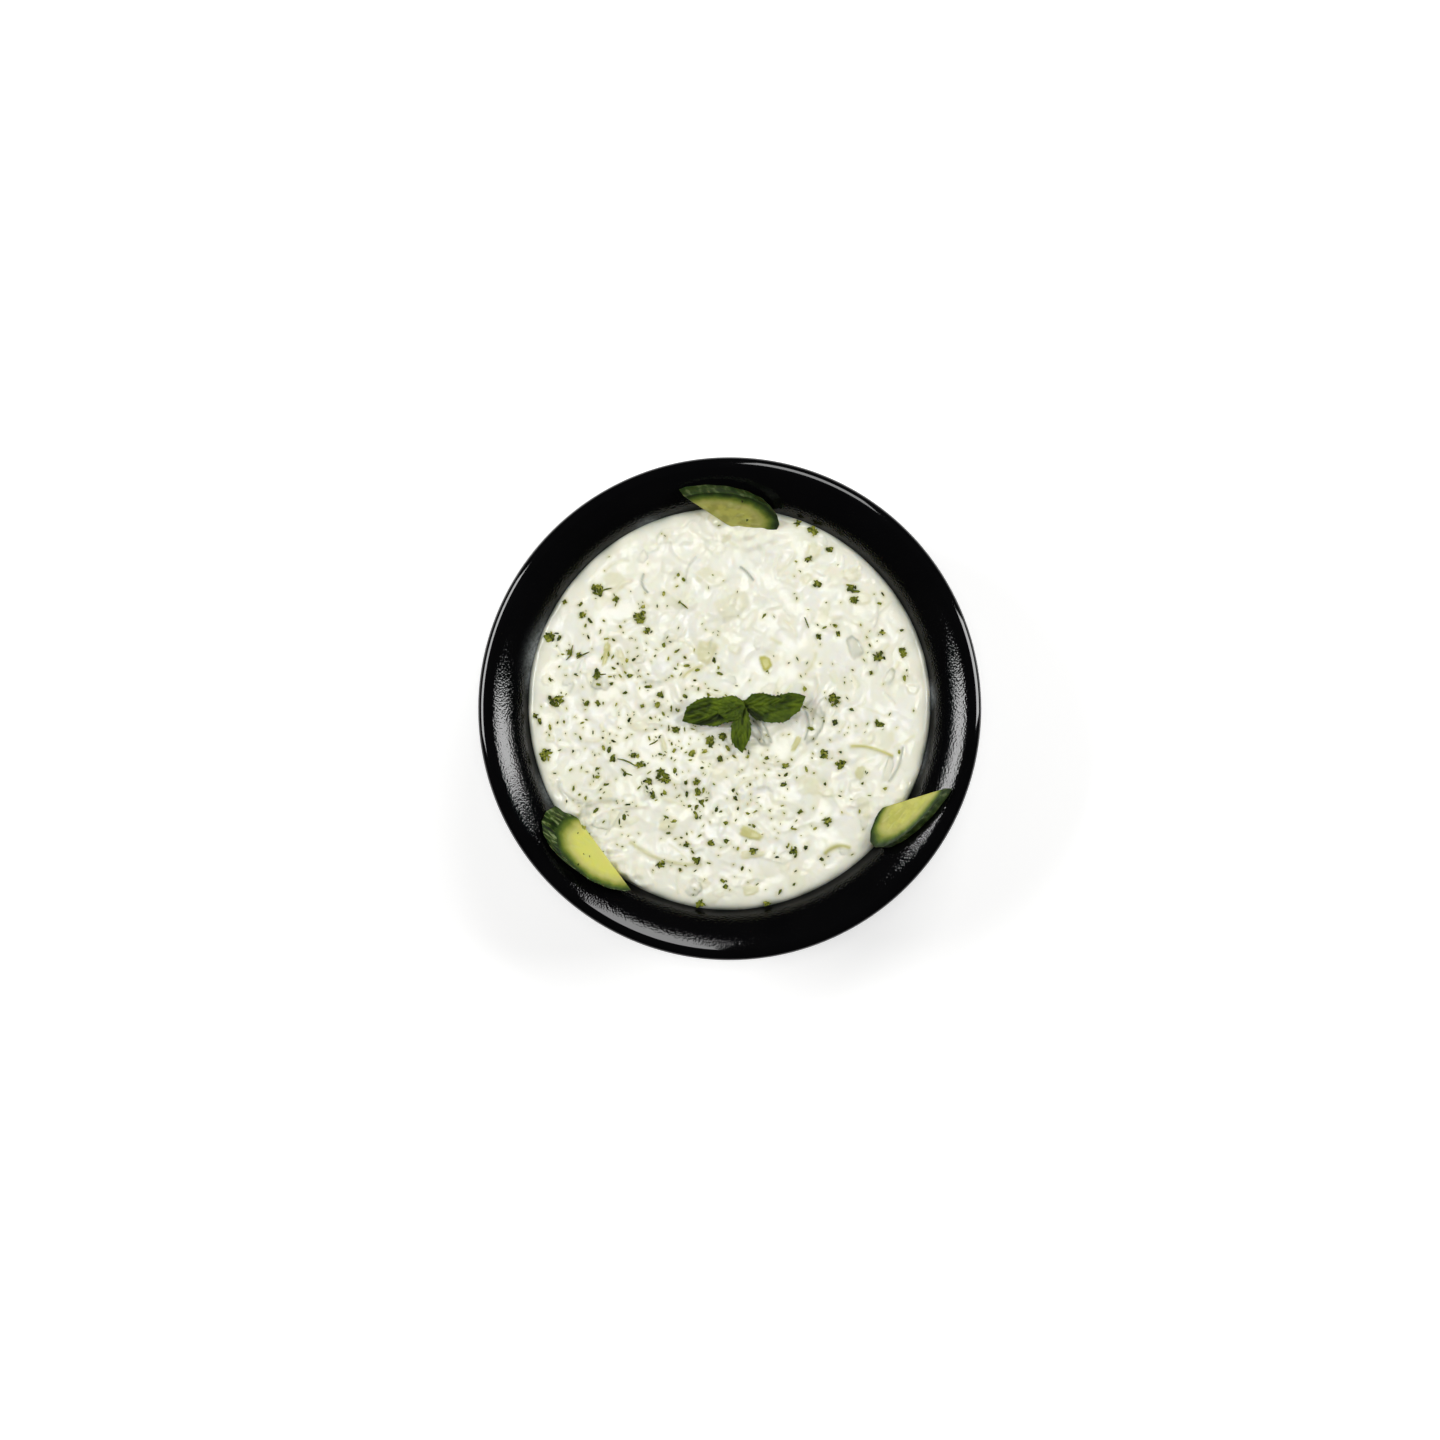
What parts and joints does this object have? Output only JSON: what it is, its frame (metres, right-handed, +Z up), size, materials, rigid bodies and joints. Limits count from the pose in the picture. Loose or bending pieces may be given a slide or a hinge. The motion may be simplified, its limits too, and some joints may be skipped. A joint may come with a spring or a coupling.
{
  "type": "tzatziki dip in a bowl",
  "caption": "Round black bowl filled with creamy yogurt dip, garnished with half slices of cucumber, a mint sprig and dried herb flakes.",
  "frame": {"origin": "centre of the bowl's foot, on the surface it stands on", "axes": "+Z up, +X to the right and +Y to the back as seen from above"},
  "size_m": [0.18, 0.18, 0.0544],
  "materials": {
    "black_melamine": "satin inside, polished at the rim",
    "tzatziki": "moist cream, softly glossy",
    "cucumber": "wet cut flesh, ribbed dark green skin",
    "mint_leaf": "soft sheen, veined",
    "dried_herb": "dry, matte"
  },
  "bodies": {
    "root": {"bowl": "black_melamine", "tzatziki": "tzatziki", "cucumber_slice_left": "cucumber", "cucumber_slice_back": "cucumber", "cucumber_slice_right": "cucumber", "mint_sprig": "mint_leaf"}
  },
  "joints": []
}
